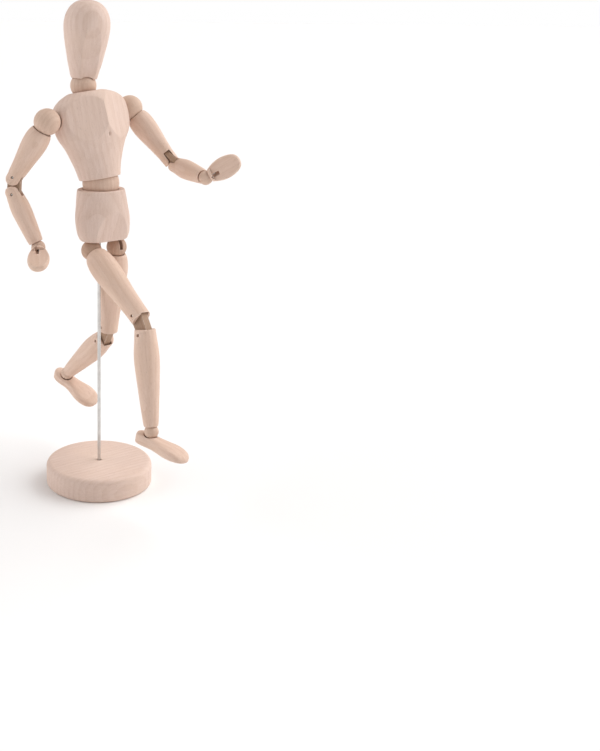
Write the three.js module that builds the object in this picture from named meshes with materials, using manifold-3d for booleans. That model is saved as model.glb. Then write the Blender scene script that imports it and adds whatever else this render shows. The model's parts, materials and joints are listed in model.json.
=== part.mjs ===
// Artist's mannequin: a small jointed wooden lay figure on a round stand, held in a striding pose.
//
// Units are millimetres and +Z is up. The origin is the centre of the stand's underside, on the axis
// of the steel rod that carries the figure. The pelvis faces -Y and the figure's left side is +X.
//
// Every ball joint is a wooden ball between two concentric cups, held by steel springs whose straight
// tails reach into the ball. Elbows and knees are flat wooden links on two cross pins each.

import * as THREE from 'three';
import { mergeVertices } from 'three/addons/utils/BufferGeometryUtils.js';
import Module from 'manifold-3d';

const wasm = await Module();
wasm.setup();

// ---------------------------------------------------------------- driving dimensions

const GAP = 0.3; // running clearance between neighbouring pieces
const ROUND = 16; // sides of a turned piece
const BORE_SIDES = 8;

const BASE = { radius: 15.6, thickness: 6.8, edge: 1.1, footEdge: 0.5, holeDepth: 4 };
const ROD = { radius: 0.48, top: 77.2 };

const PELVIS = { bottom: 74.1, top: 88.3, forward: 2.33, topForward: 0.9 };
const HIP = { spacing: 4.32, forward: 2.5, height: 71.4 };
const WAIST = { x: 0.1, y: -0.7, z: 89.9 };
const CHEST = { bottom: 1.5, top: 25.7, neckBack: 0.8 };
const SHOULDER = { spacing: 15.0, height: 19.2 };
const NECK = { height: 27.4, rim: 1.7 };
const HEAD = { length: 21.6 };

const BALL = { waist: 5.2, neck: 3.65, shoulder: 3.65, hip: 2.9, wrist: 1.95, ankle: 1.95 };

const ARM = { upper: 20.4, fore: 18.7, pinSpacing: 4.7, endRadius: 2.2 };
const LEG = { upper: 28.1, lower: 29.1, pinSpacing: 5.6, endRadius: 2.65, end: 1.4 };
const ELBOW_LINK = { radius: 1.85, thickness: 1.5, pin: 0.32 };
const KNEE_LINK = { radius: 2.05, thickness: 2.3, pin: 0.38 };

const HAND = { length: 10.8, width: 6.0, thickness: 3.8, palm: 0.8 };
const FOOT = { toe: 12.9, heel: 4.5, top: -0.9, sole: -4.1 };

const BIG_SPRING = { wire: 0.22, coil: 0.85, turns: 2.5, pitch: 1.1 };
const SMALL_SPRING = { wire: 0.18, coil: 0.62, turns: 2.5, pitch: 0.95 };

// The pose, in degrees. Arms and legs hang along -Z at zero.
const POSE = {
  waist: { turn: 5.3, bend: -8.9, lean: -4.5 },
  neck: { turn: -20.7, nod: 7.8, tilt: 10.9 },
  right: {
    arm: { swing: 35.0, raise: 22.9, twist: 26.5, elbow: 57.2, wristTurn: -84, wristBend: 60, handRoll: 20 },
    leg: { turn: 3.8, swing: -55.2, twist: 6.8, knee: 43.5, ankleTurn: 3.2, ankleBend: 16.3 },
  },
  left: {
    arm: { swing: -23.7, raise: 18.3, twist: 29.8, elbow: 63.4, wristTurn: 82, wristBend: 56, handRoll: -149 },
    leg: { turn: 5.5, swing: 10.4, twist: -5.3, knee: 41.2, ankleTurn: 17.4, ankleBend: -25.5 },
  },
};

// ---------------------------------------------------------------- materials

const wood = (colour) => new THREE.MeshStandardMaterial({ color: colour, roughness: 0.62, metalness: 0 });
const steel = () => new THREE.MeshStandardMaterial({ color: 0x9d9b97, roughness: 0.35, metalness: 1 });
const BODY_WOOD = 0xdcc3b0;
const BALL_WOOD = 0xd6bba5;
const LINK_WOOD = 0xb89a80;

// ---------------------------------------------------------------- shapes

const radians = THREE.MathUtils.degToRad;

/** The closed solid of a geometry, ready to be cut or joined. */
function solid(geometry) {
  const bare = geometry.clone();
  bare.deleteAttribute('normal');
  bare.deleteAttribute('uv');
  const merged = geometry.userData.whole ? bare : mergeVertices(bare, 1e-5);
  const vertProperties = new Float32Array(merged.attributes.position.array);
  const triVerts = new Uint32Array(merged.index.array);
  return new wasm.Manifold(new wasm.Mesh({ numProp: 3, vertProperties, triVerts }));
}

/** The geometry of a cut or joined solid. */
function geometryOf(body) {
  const mesh = body.getMesh();
  const geometry = new THREE.BufferGeometry();
  geometry.setAttribute('position', new THREE.BufferAttribute(new Float32Array(mesh.vertProperties), 3));
  geometry.setIndex(new THREE.BufferAttribute(new Uint32Array(mesh.triVerts), 1));
  geometry.userData.whole = true;
  return geometry;
}

function cut(body, ...tools) {
  return geometryOf(tools.reduce((left, tool) => left.subtract(solid(tool)), solid(body)));
}

function join(...bodies) {
  return geometryOf(bodies.slice(1).reduce((whole, body) => whole.add(solid(body)), solid(bodies[0])));
}

function common(first, second) {
  return geometryOf(solid(first).intersect(solid(second)));
}

/** A named mesh, added to its parent. */
function piece(parent, name, geometry, material) {
  const mesh = new THREE.Mesh(geometry, material);
  mesh.name = name;
  parent.add(mesh);
  return mesh;
}

/** A group placed in its parent by a position and three angles in degrees. */
function frame(parent, position, [x, y, z] = [0, 0, 0], order = 'XYZ') {
  const group = new THREE.Group();
  group.position.set(...position);
  group.rotation.set(radians(x), radians(y), radians(z), order);
  parent.add(group);
  return group;
}

/** A solid of revolution about Z, from its [radius, height] profile with the height rising. */
function turned(profile, sides = ROUND) {
  const points = profile.map(([radius, height]) => new THREE.Vector2(radius, height));
  return new THREE.LatheGeometry(points, sides).rotateX(Math.PI / 2);
}

/** The same for a piece that hangs down: the second number of each point is the distance below zero. */
function hanging(profile, sides = ROUND) {
  return turned(profile.map(([radius, depth]) => [radius, -depth]).reverse(), sides);
}

/** A body with oval sections: each is [height, half width, half depth, centre x, centre y]. */
function oval(sections, sides = 20) {
  const last = sections.length - 1;
  const geometry = new THREE.CylinderGeometry(1, 1, 1, sides, last);
  const vertices = geometry.attributes.position;
  for (let i = 0; i < vertices.count; i += 1) {
    const [height, width, depth, x = 0, y = 0] = sections[Math.round((vertices.getY(i) + 0.5) * last)];
    vertices.setXYZ(i, x + width * vertices.getX(i), y - depth * vertices.getZ(i), height);
  }
  return geometry;
}

function ball(radius) {
  const sides = radius > 3 ? 16 : 12;
  return new THREE.SphereGeometry(radius, sides, sides * 0.625).rotateX(Math.PI / 2);
}

function box(width, depth, height) {
  return new THREE.BoxGeometry(width, depth, height);
}

/** A round bar or bore on the Z axis, between two heights. */
function bar(radius, low, high, sides = BORE_SIDES) {
  const geometry = new THREE.CylinderGeometry(radius, radius, high - low, sides);
  return geometry.rotateX(Math.PI / 2).translate(0, 0, (low + high) / 2);
}

/** A round pin or its bore, along X. */
function crossBar(radius, length) {
  return new THREE.CylinderGeometry(radius, radius, length, BORE_SIDES).rotateZ(Math.PI / 2);
}

/** The space a wire needs to swing about X between two angles, from +Z towards -Y. */
function fan(from, to, reach, wire) {
  const half = wire + GAP;
  const steps = 5;
  const at = (angle, radius, offset) => {
    const a = radians(angle);
    return [radius * Math.cos(a) + offset * Math.sin(a), radius * Math.sin(a) - offset * Math.cos(a)];
  };
  const shape = new THREE.Shape();
  shape.moveTo(...at(from, 0, half));
  shape.lineTo(...at(from, reach, half));
  for (let i = 1; i < steps; i += 1) {
    shape.lineTo(...at(from + ((to - from) * i) / steps, reach + half, 0));
  }
  shape.lineTo(...at(to, reach, -half));
  shape.lineTo(...at(to, 0, -half));
  shape.lineTo(...at((from + to) / 2, -half, 0));
  const geometry = new THREE.ExtrudeGeometry(shape, { depth: 2 * half, bevelEnabled: false });
  geometry.translate(0, 0, -half);
  // The drawing's x becomes +Z, its y becomes -Y, and the thickness lies along X.
  return geometry.applyMatrix4(new THREE.Matrix4().set(0, 0, 1, 0, 0, -1, 0, 0, 1, 0, 0, 0, 0, 0, 0, 1));
}

/** A coil spring along +Z, with a straight tail below the coil and an optional bent end. */
function spring({ wire, coil, turns, pitch }, coilStart, tailEnd, bentEnd = []) {
  const perTurn = 6;
  const points = bentEnd.map((p) => new THREE.Vector3(...p));
  points.push(new THREE.Vector3(0, 0, tailEnd));
  points.push(new THREE.Vector3(0, 0, coilStart - 0.5));
  for (let i = 0; i <= perTurn * turns; i += 1) {
    const angle = (i / perTurn) * 2 * Math.PI;
    const radius = coil * Math.min(1, (i + 1) / 3);
    const height = coilStart + (i / perTurn) * pitch;
    points.push(new THREE.Vector3(radius * Math.cos(angle), radius * Math.sin(angle), height));
  }
  const path = new THREE.CatmullRomCurve3(points, false, 'catmullrom', 0.5);
  const section = new THREE.Shape();
  section.absarc(0, 0, wire, 0, 2 * Math.PI, false);
  return new THREE.ExtrudeGeometry(section, { steps: points.length + 1, curveSegments: 2, extrudePath: path });
}

/** The bore a spring lies in, along +Z from the ball it holds. */
function springBore({ wire, coil, turns, pitch }, coilStart) {
  const end = coilStart + turns * pitch + wire + GAP;
  return bar(coil + wire + GAP + 0.1, 0, end);
}

// ---------------------------------------------------------------- stand

function baseShape() {
  const { radius, thickness, edge, footEdge, holeDepth } = BASE;
  const hole = ROD.radius + GAP;
  const arc = (i, steps) => [
    radius - edge + edge * Math.cos((i / steps) * (Math.PI / 2)),
    thickness - edge + edge * Math.sin((i / steps) * (Math.PI / 2)),
  ];
  return turned(
    [
      [0, 0],
      [radius - footEdge, 0],
      [radius, footEdge],
      ...[0, 1, 2, 3, 4].map((i) => arc(i, 4)),
      [hole, thickness],
      [hole, thickness - holeDepth],
      [0, thickness - holeDepth],
    ],
    32,
  );
}

function rodShape() {
  return bar(ROD.radius, BASE.thickness - BASE.holeDepth + GAP, ROD.top, 12);
}

// ---------------------------------------------------------------- trunk

/** The pelvis: an oval block, cupped for the waist ball and both hip balls. */
function pelvisShape() {
  const { bottom, top, forward, topForward } = PELVIS;
  const lean = (height) => -forward + ((forward - topForward) * (height - bottom)) / (top - bottom);
  const sections = [
    [bottom, 7.0, 4.9],
    [bottom + 0.6, 7.5, 5.4],
    [bottom + 2.5, 8.1, 5.8],
    [bottom + 6, 8.35, 6.1],
    [bottom + 10, 7.75, 6.1],
    [top - 0.5, 7.1, 6.0],
    [top, 6.7, 5.7],
  ].map(([height, width, depth]) => [height, width, depth, 0, lean(height)]);
  const hipCups = [-1, 1].map((side) => ball(BALL.hip + GAP).translate(side * HIP.spacing, -HIP.forward, HIP.height));
  const hipBores = [-1, 1].map((side) =>
    springBore(SMALL_SPRING, BALL.hip + 0.6).translate(side * HIP.spacing, -HIP.forward, HIP.height),
  );
  const waistCup = ball(BALL.waist + GAP).translate(WAIST.x, WAIST.y, WAIST.z);
  const waistBore = springBore(BIG_SPRING, BALL.waist + 0.7).rotateX(Math.PI);
  const rodBore = bar(ROD.radius + GAP, bottom - 1, ROD.top + GAP);
  // The flat on the lower front, which rises to a round arch.
  const front = box(30, 10, 30)
    .translate(0, -5, 0)
    .rotateX(radians(9))
    .translate(0, -forward - 4.5, bottom + 2.4);
  return cut(
    oval(sections),
    ...hipCups,
    ...hipBores,
    waistCup,
    waistBore.translate(WAIST.x, WAIST.y, WAIST.z),
    rodBore,
    front,
  );
}

/** The chest, in its own frame with the waist ball's centre at zero. */
function chestShape() {
  const sections = [
    [CHEST.bottom, 5.95, 5.75],
    [4.5, 6.8, 5.9],
    [8, 8.3, 6.2, 0.1],
    [11, 9.75, 6.7, 0.25],
    [13.5, 11.6, 7.2, 0.4],
    [16.5, 12.5, 7.6, 0.4],
    [20, 12.4, 7.5, 0.4],
    [22.4, 11.5, 7.0, 0.4],
    [24.2, 9.1, 6.2, 0.3],
    [25.3, 6.2, 5.3],
    [CHEST.top, 4.6, 4.5, 0, 0.4],
  ];
  const shoulderCups = [-1, 1].map((side) =>
    ball(BALL.shoulder + GAP).translate(side * SHOULDER.spacing, 0, SHOULDER.height),
  );
  const shoulderBores = [-1, 1].map((side) =>
    springBore(BIG_SPRING, BALL.shoulder + 0.7)
      .rotateY(radians(-90 * side))
      .translate(side * SHOULDER.spacing, 0, SHOULDER.height),
  );
  const neckCup = ball(BALL.neck + GAP).translate(0, CHEST.neckBack, NECK.height);
  const neckBore = springBore(SMALL_SPRING, BALL.neck + 0.6).rotateX(Math.PI);
  const waistCup = ball(BALL.waist + GAP);
  const waistBore = springBore(BIG_SPRING, BALL.waist + 0.7);
  // The two breast flats meet in a shallow ridge at the middle of the chest.
  const breasts = [-1, 1].map((side) =>
    box(16, 6, 13.4)
      .translate(0, -3, 0)
      .rotateX(radians(-5))
      .rotateZ(radians(side * 21))
      .translate(side * 5.4, -5.35, 18.3),
  );
  return cut(
    oval(sections, 24),
    ...shoulderCups,
    ...shoulderBores,
    neckCup,
    neckBore.translate(0, CHEST.neckBack, NECK.height),
    waistCup,
    waistBore,
    ...breasts,
  );
}

/** The head: an egg on its narrow end with one flat for the face. The neck ball's centre is at zero. */
function headShape() {
  const profile = [
    [0, 0],
    [3.4, 0],
    [3.8, 0.9],
    [4.2, 2.5],
    [4.75, 4.5],
    [5.2, 6.6],
    [5.75, 9.2],
    [6.2, 11.8],
    [6.45, 14.5],
    [6.15, 17],
    [5.15, 19.2],
    [3.6, 20.7],
    [1.8, 21.4],
    [0, HEAD.length],
  ].map(([radius, height]) => [radius, height + NECK.rim]);
  const face = box(20, 8, 30)
    .translate(0, -4, 0)
    .rotateX(radians(13.5))
    .translate(0, -4.55, NECK.rim + 6.6);
  return cut(turned(profile, 20), ball(BALL.neck + GAP), springBore(SMALL_SPRING, BALL.neck + 0.6), face);
}

/** A ball with a slot below for a spring tail that swings about X, and one above about Y. */
function trunkBall(radius, wire, swing, lean) {
  const below = fan(-swing, swing, radius + 1, wire).rotateX(Math.PI);
  const above = fan(-lean, lean, radius + 1, wire).rotateZ(Math.PI / 2);
  return cut(ball(radius), below.translate(0, 0, -0.2), above.translate(0, 0, 0.2));
}

// ---------------------------------------------------------------- arms and legs

/**
 * What is cut from a limb's end for its link: the pocket, with a way out on the inner side of the bend,
 * the pin's bore, and the corners that would catch, on each of the given sides.
 */
function forkCuts(link, radius, pinAt, direction, inner, corners) {
  const slot = link.thickness + 2 * GAP;
  const reach = link.radius + GAP + 0.05;
  const length = 8;
  const lift = 1.35;
  const disc = new THREE.CylinderGeometry(reach, reach, slot, 24).rotateZ(Math.PI / 2).translate(0, 0, pinAt);
  const mouth = box(slot, 2 * reach, length).translate(0, 0, pinAt + (direction * length) / 2);
  const wayOut = box(slot, length, length).translate(
    0,
    (inner * length) / 2,
    pinAt + direction * (length / 2 - lift),
  );
  const bore = crossBar(link.pin + GAP, 12).translate(0, 0, pinAt);
  const side = radius + 1;
  const round = new THREE.CylinderGeometry(radius, radius, 20, 24).rotateZ(Math.PI / 2).translate(0, 0, pinAt);
  const edges = corners.map((towards) => {
    const corner = box(16, side, side).translate(0, (towards * side) / 2, pinAt + (direction * side) / 2);
    return cut(corner, round);
  });
  return [disc, mouth, wayOut, bore, ...edges];
}

function elbowOffset(bend) {
  return ARM.pinSpacing / 2 / Math.cos(radians(bend / 2));
}

function kneeOffset(bend) {
  return LEG.pinSpacing / 2 / Math.cos(radians(bend / 2));
}

function upperArmShape(pinAt) {
  const profile = [
    [0, 2.7],
    [2.7, 2.7],
    [3.25, 4.2],
    [3.45, 6.2],
    [3.3, 8.8],
    [2.75, 12.8],
    [ARM.endRadius + 0.1, pinAt - 1],
    [ARM.endRadius, pinAt + ARM.endRadius],
    [0, pinAt + ARM.endRadius],
  ];
  return cut(
    hanging(profile),
    ball(BALL.shoulder + GAP),
    springBore(SMALL_SPRING, BALL.shoulder + 0.6).rotateX(Math.PI),
    ...forkCuts(ELBOW_LINK, ARM.endRadius, -pinAt, -1, -1, [-1, 1]),
  );
}

/** The forearm, hanging from its elbow pin at zero to the wrist ball's centre. */
function forearmShape(wristAt) {
  const profile = [
    [0, -ARM.endRadius],
    [ARM.endRadius, -ARM.endRadius],
    [ARM.endRadius + 0.1, 0],
    [2.5, 1.6],
    [2.75, 4.2],
    [2.65, 7],
    [2.35, wristAt - 5],
    [2.05, wristAt - 2],
    [1.85, wristAt - 1.45],
    [0, wristAt - 1.45],
  ];
  return cut(
    hanging(profile),
    ball(BALL.wrist + GAP).translate(0, 0, -wristAt),
    springBore(SMALL_SPRING, BALL.wrist + 0.6).translate(0, 0, -wristAt),
    ...forkCuts(ELBOW_LINK, ARM.endRadius, 0, 1, -1, [-1, 1]),
  );
}

function thighShape(pinAt) {
  const profile = [
    [0, 1.7],
    [2.6, 1.7],
    [3.3, 3.0],
    [3.8, 5.4],
    [3.9, 8],
    [3.75, 11.5],
    [3.2, 17],
    [2.85, pinAt - 2],
    [2.8, pinAt + LEG.end],
    [0, pinAt + LEG.end],
  ];
  return cut(
    hanging(profile),
    ball(BALL.hip + GAP),
    springBore(SMALL_SPRING, BALL.hip + 0.6).rotateX(Math.PI),
    ...forkCuts(KNEE_LINK, LEG.endRadius, -pinAt, -1, 1, [1]),
  );
}

function calfShape(ankleAt) {
  const profile = [
    [0, -LEG.end],
    [2.85, -LEG.end],
    [3.1, 1.5],
    [3.4, 4.5],
    [3.45, 7.5],
    [3.15, 12],
    [2.45, ankleAt - 6],
    [2.1, ankleAt - 2.4],
    [1.85, ankleAt - 1.3],
    [0, ankleAt - 1.3],
  ];
  return cut(
    hanging(profile),
    ball(BALL.ankle + GAP).translate(0, 0, -ankleAt),
    springBore(SMALL_SPRING, BALL.ankle + 0.6).translate(0, 0, -ankleAt),
    ...forkCuts(KNEE_LINK, LEG.endRadius, 0, 1, 1, [1]),
  );
}

/** A flat link with round ends, hanging from one pin to the other. */
function linkShape({ radius, thickness, pin }, spacing) {
  const shape = new THREE.Shape();
  shape.absarc(0, 0, radius, 0, Math.PI, false);
  shape.absarc(0, -spacing, radius, Math.PI, 2 * Math.PI, false);
  [0, -spacing].forEach((height) => {
    const hole = new THREE.Path();
    hole.absarc(0, height, pin + GAP, 0, 2 * Math.PI, true);
    shape.holes.push(hole);
  });
  const geometry = new THREE.ExtrudeGeometry(shape, { depth: thickness, bevelEnabled: false, curveSegments: 5 });
  // Drawn in the plane of the bend, with the thickness along X.
  return geometry.translate(0, 0, -thickness / 2).rotateX(Math.PI / 2).rotateZ(Math.PI / 2);
}

/** A limb ball with a slot for the spring tail of the piece above, and a bore for its own below. */
function limbBall(radius, wire, from, to) {
  const slot = fan(from, to, radius + 1, wire).translate(0, 0, 0.1);
  return cut(ball(radius), slot, bar(wire + GAP, -radius - 1, -0.1));
}

/** A wrist or ankle ball, bored for the spring's tail and for its bent end. */
function endBall(radius, wire, bend) {
  const above = bar(wire + GAP, 0, radius + 1);
  const below = bar(wire + GAP, -radius - 1, 0).rotateX(radians(bend));
  return cut(ball(radius), join(above, below, new THREE.SphereGeometry(wire + GAP + 0.06, 8, 6)));
}

/** The hand: a wooden paddle with a flat palm, hanging from the wrist ball's centre and rolled about Z. */
function handShape(reach, roll) {
  const { length, width, thickness, palm } = HAND;
  const half = width / 2;
  const sections = [
    [-length, 0.5, 0.4],
    [-length + 0.5, half * 0.56, thickness * 0.28],
    [-length + 1.8, half * 0.84, thickness * 0.42],
    [-length + 4, half, thickness * 0.5],
    [-length + 6.2, half * 0.97, thickness * 0.51],
    [-2.8, half * 0.8, thickness * 0.52],
    [-1.5, 1.85, 1.75],
  ];
  const flat = box(12, 4, 14).translate(0, -2 - palm, -2.4 - 7).rotateZ(radians(roll));
  const paddle = oval(sections, 20).rotateZ(radians(roll));
  const slot = fan(-32, 32, reach + 0.7, SMALL_SPRING.wire).rotateX(Math.PI);
  return cut(paddle, ball(BALL.wrist + GAP), flat, slot);
}

/** The foot: a wooden shoe shape with a flat sole, under the ankle ball's centre at zero. */
function footShape(reach) {
  const { toe, heel, top, sole } = FOOT;
  const plan = new THREE.Shape();
  plan.moveTo(0, heel);
  plan.bezierCurveTo(2.3, heel, 2.5, 2, 2.1, -1);
  plan.bezierCurveTo(1.9, -4, 3.3, -6, 3.3, -8.6);
  plan.bezierCurveTo(3.3, -11.6, 1.9, -toe, 0, -toe);
  plan.bezierCurveTo(-1.9, -toe, -3.3, -11.6, -3.3, -8.6);
  plan.bezierCurveTo(-3.3, -6, -1.9, -4, -2.1, -1);
  plan.bezierCurveTo(-2.5, 2, -2.3, heel, 0, heel);
  const block = new THREE.ExtrudeGeometry(plan, { depth: 8, bevelEnabled: false, curveSegments: 5 });
  const side = new THREE.Shape();
  side.moveTo(-toe, sole + 0.6);
  side.bezierCurveTo(-toe, sole, -toe + 1, sole, -toe + 2, sole);
  side.lineTo(heel, sole);
  side.lineTo(heel, top - 0.8);
  side.bezierCurveTo(heel, top, 3, top, 2, top);
  side.bezierCurveTo(-2, top, -4, top - 0.2, -7, top - 0.3);
  side.bezierCurveTo(-10, top - 0.5, -toe, top - 1.3, -toe, sole + 0.6);
  const slab = new THREE.ExtrudeGeometry(side, { depth: 8, bevelEnabled: false, curveSegments: 5 });
  // The side view is drawn with Y to the right and Z up.
  slab.translate(0, 0, -4).rotateX(Math.PI / 2).rotateZ(Math.PI / 2);
  const slot = fan(-30, 30, reach + 0.6, SMALL_SPRING.wire).rotateX(Math.PI);
  return cut(common(block.translate(0, 0, sole - 2), slab), ball(BALL.ankle + GAP), slot);
}

// ---------------------------------------------------------------- assembly

const mannequin = new THREE.Group();

function addTrunk() {
  piece(mannequin, 'base', baseShape(), wood(BODY_WOOD));
  piece(mannequin, 'support_rod', rodShape(), steel());
  piece(mannequin, 'pelvis', pelvisShape(), wood(BODY_WOOD));

  const { turn, bend, lean } = POSE.waist;
  const waistTurn = frame(mannequin, [WAIST.x, WAIST.y, WAIST.z], [0, 0, turn]);
  const waistSpring = spring(BIG_SPRING, BALL.waist + 0.9, 0.5).rotateX(Math.PI);
  piece(waistTurn, 'waist_spring', waistSpring, steel());
  const waistBend = frame(waistTurn, [0, 0, 0], [bend, 0, 0]);
  piece(waistBend, 'waist_ball', trunkBall(BALL.waist, BIG_SPRING.wire, 32, 24), wood(BALL_WOOD));
  const chest = frame(waistBend, [0, 0, 0], [0, lean, 0]);
  piece(chest, 'chest_spring', spring(BIG_SPRING, BALL.waist + 0.9, 0.5), steel());
  piece(chest, 'chest', chestShape(), wood(BODY_WOOD));

  const neck = POSE.neck;
  const neckTurn = frame(chest, [0, CHEST.neckBack, NECK.height], [0, 0, neck.turn]);
  const neckSpring = spring(SMALL_SPRING, BALL.neck + 0.8, 0.5).rotateX(Math.PI);
  piece(neckTurn, 'neck_spring', neckSpring, steel());
  const neckNod = frame(neckTurn, [0, 0, 0], [neck.nod, 0, 0]);
  piece(neckNod, 'neck_ball', trunkBall(BALL.neck, SMALL_SPRING.wire, 36, 30), wood(BALL_WOOD));
  const head = frame(neckNod, [0, 0, 0], [0, neck.tilt, 0]);
  piece(head, 'head_spring', spring(SMALL_SPRING, BALL.neck + 0.8, 0.5), steel());
  piece(head, 'head', headShape(), wood(BODY_WOOD));
  return chest;
}

/** The end of a spring tail that is bent at the centre of a wrist or ankle ball. */
function bentTail(bend, reach) {
  const a = radians(bend);
  return [reach, reach * 0.55, 0.35].map((r) => [0, r * Math.sin(a), -r * Math.cos(a)]);
}

function addArm(chest, side, name, pose) {
  const shoulder = frame(chest, [side * SHOULDER.spacing, 0, SHOULDER.height], [pose.swing, 0, 0]);
  const shoulderSpring = spring(BIG_SPRING, BALL.shoulder + 0.9, 0.5).rotateY(radians(-90 * side));
  piece(shoulder, `shoulder_spring_${name}`, shoulderSpring, steel());

  const raised = frame(shoulder, [0, 0, 0], [0, -side * pose.raise, 0]);
  // The slot lies in the plane of the raise and opens towards the chest.
  const shoulderBall = limbBall(BALL.shoulder, BIG_SPRING.wire, 20, 102).rotateZ(radians(-90 * side));
  piece(raised, `shoulder_ball_${name}`, shoulderBall, wood(BALL_WOOD));
  const armSpring = spring(SMALL_SPRING, BALL.shoulder + 0.8, 1.2).rotateX(Math.PI);
  piece(raised, `arm_spring_${name}`, armSpring, steel());

  const upper = frame(raised, [0, 0, 0], [0, 0, -side * pose.twist]);
  const offset = elbowOffset(pose.elbow);
  const upperPin = ARM.upper - offset;
  piece(upper, `upper_arm_${name}`, upperArmShape(upperPin), wood(BODY_WOOD));
  const upperPinFrame = frame(upper, [0, 0, -upperPin]);
  piece(upperPinFrame, `elbow_upper_pin_${name}`, crossBar(ELBOW_LINK.pin, 2 * ARM.endRadius - 0.5), steel());

  const link = frame(upperPinFrame, [0, 0, 0], [-pose.elbow / 2, 0, 0]);
  piece(link, `elbow_link_${name}`, linkShape(ELBOW_LINK, ARM.pinSpacing), wood(LINK_WOOD));
  const fore = frame(link, [0, 0, -ARM.pinSpacing], [-pose.elbow / 2, 0, 0]);
  piece(fore, `elbow_lower_pin_${name}`, crossBar(ELBOW_LINK.pin, 2 * ARM.endRadius - 0.5), steel());
  const wristAt = ARM.fore - offset;
  piece(fore, `forearm_${name}`, forearmShape(wristAt), wood(BODY_WOOD));

  const wrist = frame(fore, [0, 0, -wristAt], [0, 0, pose.wristTurn]);
  const reach = BALL.wrist + 1.2;
  const tail = bentTail(-pose.wristBend, reach);
  piece(wrist, `wrist_spring_${name}`, spring(SMALL_SPRING, BALL.wrist + 0.8, 0.5, tail), steel());
  piece(wrist, `wrist_ball_${name}`, endBall(BALL.wrist, SMALL_SPRING.wire, -pose.wristBend), wood(BALL_WOOD));
  const hand = frame(wrist, [0, 0, 0], [-pose.wristBend, 0, 0]);
  piece(hand, `hand_${name}`, handShape(reach, pose.handRoll), wood(BODY_WOOD));
}

function addLeg(side, name, pose) {
  const hipAt = [side * HIP.spacing, -HIP.forward, HIP.height];
  const hip = frame(mannequin, hipAt, [0, 0, -side * pose.turn]);
  piece(hip, `hip_spring_${name}`, spring(SMALL_SPRING, BALL.hip + 0.8, 0.5), steel());

  const swung = frame(hip, [0, 0, 0], [pose.swing, 0, 0]);
  piece(swung, `hip_ball_${name}`, limbBall(BALL.hip, SMALL_SPRING.wire, -45, 80), wood(BALL_WOOD));
  const thighSpring = spring(SMALL_SPRING, BALL.hip + 0.8, 1.2).rotateX(Math.PI);
  piece(swung, `thigh_spring_${name}`, thighSpring, steel());

  const thigh = frame(swung, [0, 0, 0], [0, 0, -side * pose.twist]);
  const offset = kneeOffset(pose.knee);
  const upperPin = LEG.upper - offset;
  piece(thigh, `thigh_${name}`, thighShape(upperPin), wood(BODY_WOOD));
  const upperPinFrame = frame(thigh, [0, 0, -upperPin]);
  piece(upperPinFrame, `knee_upper_pin_${name}`, crossBar(KNEE_LINK.pin, 2 * LEG.endRadius - 0.5), steel());

  const link = frame(upperPinFrame, [0, 0, 0], [pose.knee / 2, 0, 0]);
  piece(link, `knee_link_${name}`, linkShape(KNEE_LINK, LEG.pinSpacing), wood(LINK_WOOD));
  const calf = frame(link, [0, 0, -LEG.pinSpacing], [pose.knee / 2, 0, 0]);
  piece(calf, `knee_lower_pin_${name}`, crossBar(KNEE_LINK.pin, 2 * LEG.endRadius - 0.5), steel());
  const ankleAt = LEG.lower - offset;
  piece(calf, `calf_${name}`, calfShape(ankleAt), wood(BODY_WOOD));

  const ankle = frame(calf, [0, 0, -ankleAt], [0, 0, pose.ankleTurn]);
  const reach = BALL.ankle + 1.0;
  const tail = bentTail(pose.ankleBend, reach);
  piece(ankle, `ankle_spring_${name}`, spring(SMALL_SPRING, BALL.ankle + 0.8, 0.5, tail), steel());
  piece(ankle, `ankle_ball_${name}`, endBall(BALL.ankle, SMALL_SPRING.wire, pose.ankleBend), wood(BALL_WOOD));
  const foot = frame(ankle, [0, 0, 0], [pose.ankleBend, 0, 0]);
  piece(foot, `foot_${name}`, footShape(reach), wood(BODY_WOOD));
}

const chest = addTrunk();
addArm(chest, -1, 'right', POSE.right.arm);
addArm(chest, 1, 'left', POSE.left.arm);
addLeg(-1, 'right', POSE.right.leg);
addLeg(1, 'left', POSE.left.leg);

export default mannequin;
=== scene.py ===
"""Artist's mannequin: the visual model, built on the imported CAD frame.

Every piece is made in millimetres in the frame of its own limb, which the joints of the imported
record give, and is then placed in metres. Wooden pieces are turned or lofted, cut for their balls,
springs, links and flats, remeshed and softened, so that their edges are rounded in the mesh itself.
"""

import json
import math
import random

import bpy
import numpy as np
from mathutils import Matrix, Vector


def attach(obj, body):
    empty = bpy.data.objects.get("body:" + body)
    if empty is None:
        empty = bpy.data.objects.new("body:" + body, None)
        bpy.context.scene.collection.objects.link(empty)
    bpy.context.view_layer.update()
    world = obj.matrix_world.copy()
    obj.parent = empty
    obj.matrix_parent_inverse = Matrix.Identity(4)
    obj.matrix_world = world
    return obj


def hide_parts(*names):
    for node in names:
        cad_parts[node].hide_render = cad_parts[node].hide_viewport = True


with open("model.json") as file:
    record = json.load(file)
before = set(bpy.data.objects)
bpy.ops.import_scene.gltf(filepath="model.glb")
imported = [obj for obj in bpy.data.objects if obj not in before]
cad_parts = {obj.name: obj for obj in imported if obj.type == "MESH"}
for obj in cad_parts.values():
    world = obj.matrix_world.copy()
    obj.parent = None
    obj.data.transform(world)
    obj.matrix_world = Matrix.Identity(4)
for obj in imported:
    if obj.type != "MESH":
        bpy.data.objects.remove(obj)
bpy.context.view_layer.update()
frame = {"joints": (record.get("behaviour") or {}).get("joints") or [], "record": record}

# ---------------------------------------------------------------- dimensions, in millimetres

MM = 0.001  # metres in a millimetre
GAP = 0.3  # clearance between a ball and its cup
PIN_GAP = 0.07  # what shows of a pressed pin's hole

BASE = {"radius": 15.6, "thickness": 6.8, "edge": 1.5, "foot": 0.9, "hole_depth": 4.0}
ROD = {"radius": 0.48, "top": 77.2, "point": 0.25}

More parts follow.
